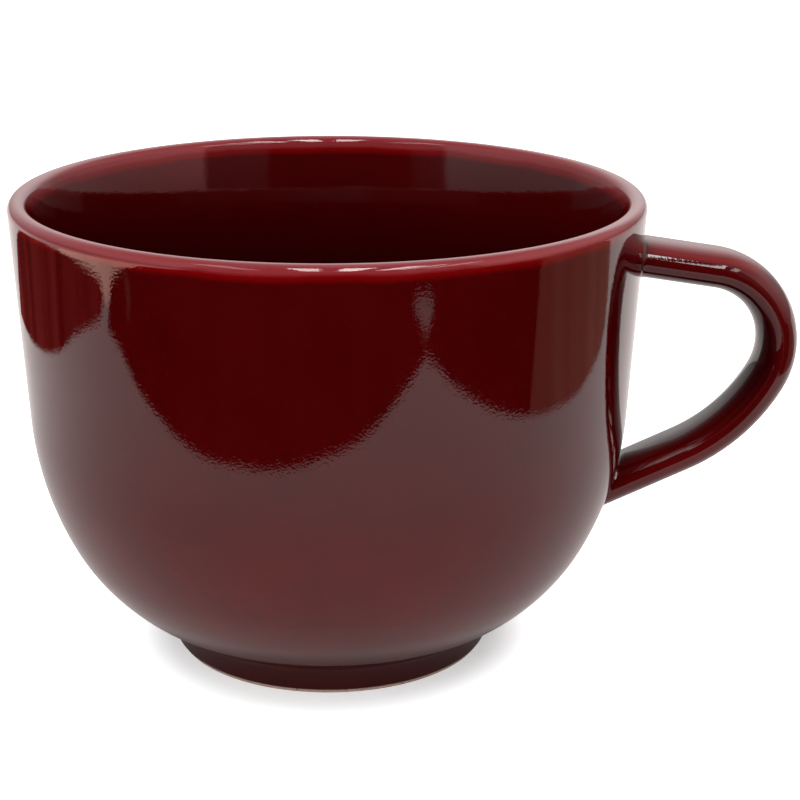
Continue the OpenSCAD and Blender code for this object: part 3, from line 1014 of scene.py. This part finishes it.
# %% Cards on the table
low_lift = 0.3
scrap_lift = 0.5
far = 3900
front_right = (120, -200)
right_split = (174, -71)
left_side = [(-320, -260), (-286, -110), (-284, -88), (-274, -80), (-262, -73)]
cards = (
    ("front_flag", "black_card", low_lift, [
        (-242, -64), (-222, -81), (-182, -97), (-155, -112), (-110, -132), (-75, -150), (-41, -162),
        (-7, -173), (31, -180), (79, -192), front_right, (far / 2, -far), (-far, -far)] + left_side),
    ("right_flag", "black_card", low_lift, [
        front_right, (129, -183), (140, -156), (160, -108), right_split, (far, -680), (far, -far),
        (far / 2, -far)]),
    ("brown_flag", "brown_card", low_lift, [
        right_split, (186, -35), (197, 6), (207, 33), (218, 61), (236, 81), (267, 98), (302, 112),
        (far, 1440), (far, -680)]),
    ("left_flag", "dusk_card", low_lift, [
        (-254, -51), (-251, -34), (-249, -14), (-242, 14), (-225, 44), (-198, 115), (-159, 207), (-195, 235),
        (-243, 258), (-310, 250), (-335, 182), (-345, 120), (-340, 60), (-313, -13), (-299, -43), (-288, -60),
        (-269, -64)]),
    ("left_card", "white_card", low_lift, [
        (-299, -43), (-313, -13), (-340, 60), (-440, 60), (-440, -220)] + left_side + [
        (-269, -64), (-288, -60)]),
    ("streak_card", "grey_card", scrap_lift, [
        (-279, -112), (-272, -121), (-251, -117), (-236, -106), (-236, -100), (-252, -110)]),
    ("corner_card", "pale_card", scrap_lift, [
        (120, -240), (131, -245), (146, -237), (151, -226), (140, -218), (131, -213), (126, -220),
        (124, -230)]),
    ("corner_scrap", "grey_card", scrap_lift, [(119, -216), (124, -219), (131, -211), (122, -208)]),
)
for name, finish, lift_z, corners in cards:
    points = [(x, y, lift_z) for x, y in corners]
    card = stage_mesh(name, points, [tuple(range(len(corners)))], card_finishes[finish])
    card.visible_camera = False
    card.visible_diffuse = False
    card.visible_shadow = False
print("cards:", len(cards))


# %% [markdown]
# ## Light
# A large soft lamp stands in front of the mug, a weaker one hangs over it so that its inside isn't lost,
# and the surround fills in. The front lamp leaves the inside and the handle's inner side dark, as low
# light from a window would. Neither lamp is seen in the glaze. A row of narrow panels overhead is seen
# only there, and gives the short highlights along the lip and the handle.

# %% Lamps
def lamp(name, place, size, watts, aim=(0, 0, 40)):
    """A rectangular soft lamp at a place, turned to a point that it aims at, all in millimetres."""
    light = bpy.data.lights.new(name, "AREA")
    light.shape = "RECTANGLE"
    light.size = size[0] * MM
    light.size_y = size[1] * MM
    light.energy = watts
    holder = bpy.data.objects.new(name, light)
    holder.location = MM * Vector(place)
    holder.rotation_euler = (MM * (Vector(aim) - Vector(place))).to_track_quat("-Z", "Y").to_euler()
    bpy.context.scene.collection.objects.link(holder)
    return holder


key = lamp("soft_key", (-250, -1200, 900), (1000, 700), 12.5)
key.visible_glossy = False
top = lamp("soft_top", (0, 0, 1500), (600, 600), 12)
top.visible_glossy = False
panel_y = -600
panel_z = 1090
panel_length = 700
# Each panel: its left and right edge in millimetres, and its power for each millimetre of width.
panels = ((-665, -465, 0.006), (-168, -38, 0.025), (63, 193, 0.031), (330, 440, 0.026), (490, 560, 0.018),
          (706, 836, 0.009))
for i, (left, right, watts_per_mm) in enumerate(panels):
    middle_x = (left + right) / 2
    width = right - left
    panel = lamp(f"panel_{i}", (middle_x, panel_y, panel_z), (width, panel_length), width * watts_per_mm,
                 (middle_x, panel_y, 0))
    panel.visible_diffuse = False
    panel.visible_camera = False
print("lamps: 2, panels:", len(panels))

# %% [markdown]
# ## Camera
# The camera stands where the photographer stood: a little to the right of the axis, 163 mm above the table
# and 355 mm in front, with a lens that makes the mug fill the frame. Its place and its three turns were
# fitted to the rim, the foot and the handle, so its matrix is built from them and not aimed by eye.

# %% Camera
camera_place = Vector((6.19, -354.69, 163.29))
yaw = math.radians(1.208)
pitch = math.radians(17.981)
roll = math.radians(0.313)
ahead = Vector((math.sin(yaw) * math.cos(pitch), math.cos(yaw) * math.cos(pitch), -math.sin(pitch)))
level_right = Vector((math.cos(yaw), -math.sin(yaw), 0))
level_up = level_right.cross(ahead)
tilted_right = math.cos(roll) * level_right + math.sin(roll) * level_up
tilted_up = -math.sin(roll) * level_right + math.cos(roll) * level_up
lens = bpy.data.cameras.new("camera")
lens.sensor_width = 36
lens.lens = 85.5
lens.clip_start = 0.01
camera = bpy.data.objects.new("camera", lens)
turn_matrix = Matrix((tilted_right, tilted_up, -ahead)).transposed().to_4x4()
camera.matrix_world = Matrix.Translation(MM * camera_place) @ turn_matrix
bpy.context.scene.collection.objects.link(camera)
bpy.context.scene.camera = camera
bpy.context.scene.view_settings.view_transform = "Standard"
print("camera:", lens.lens, "mm lens")
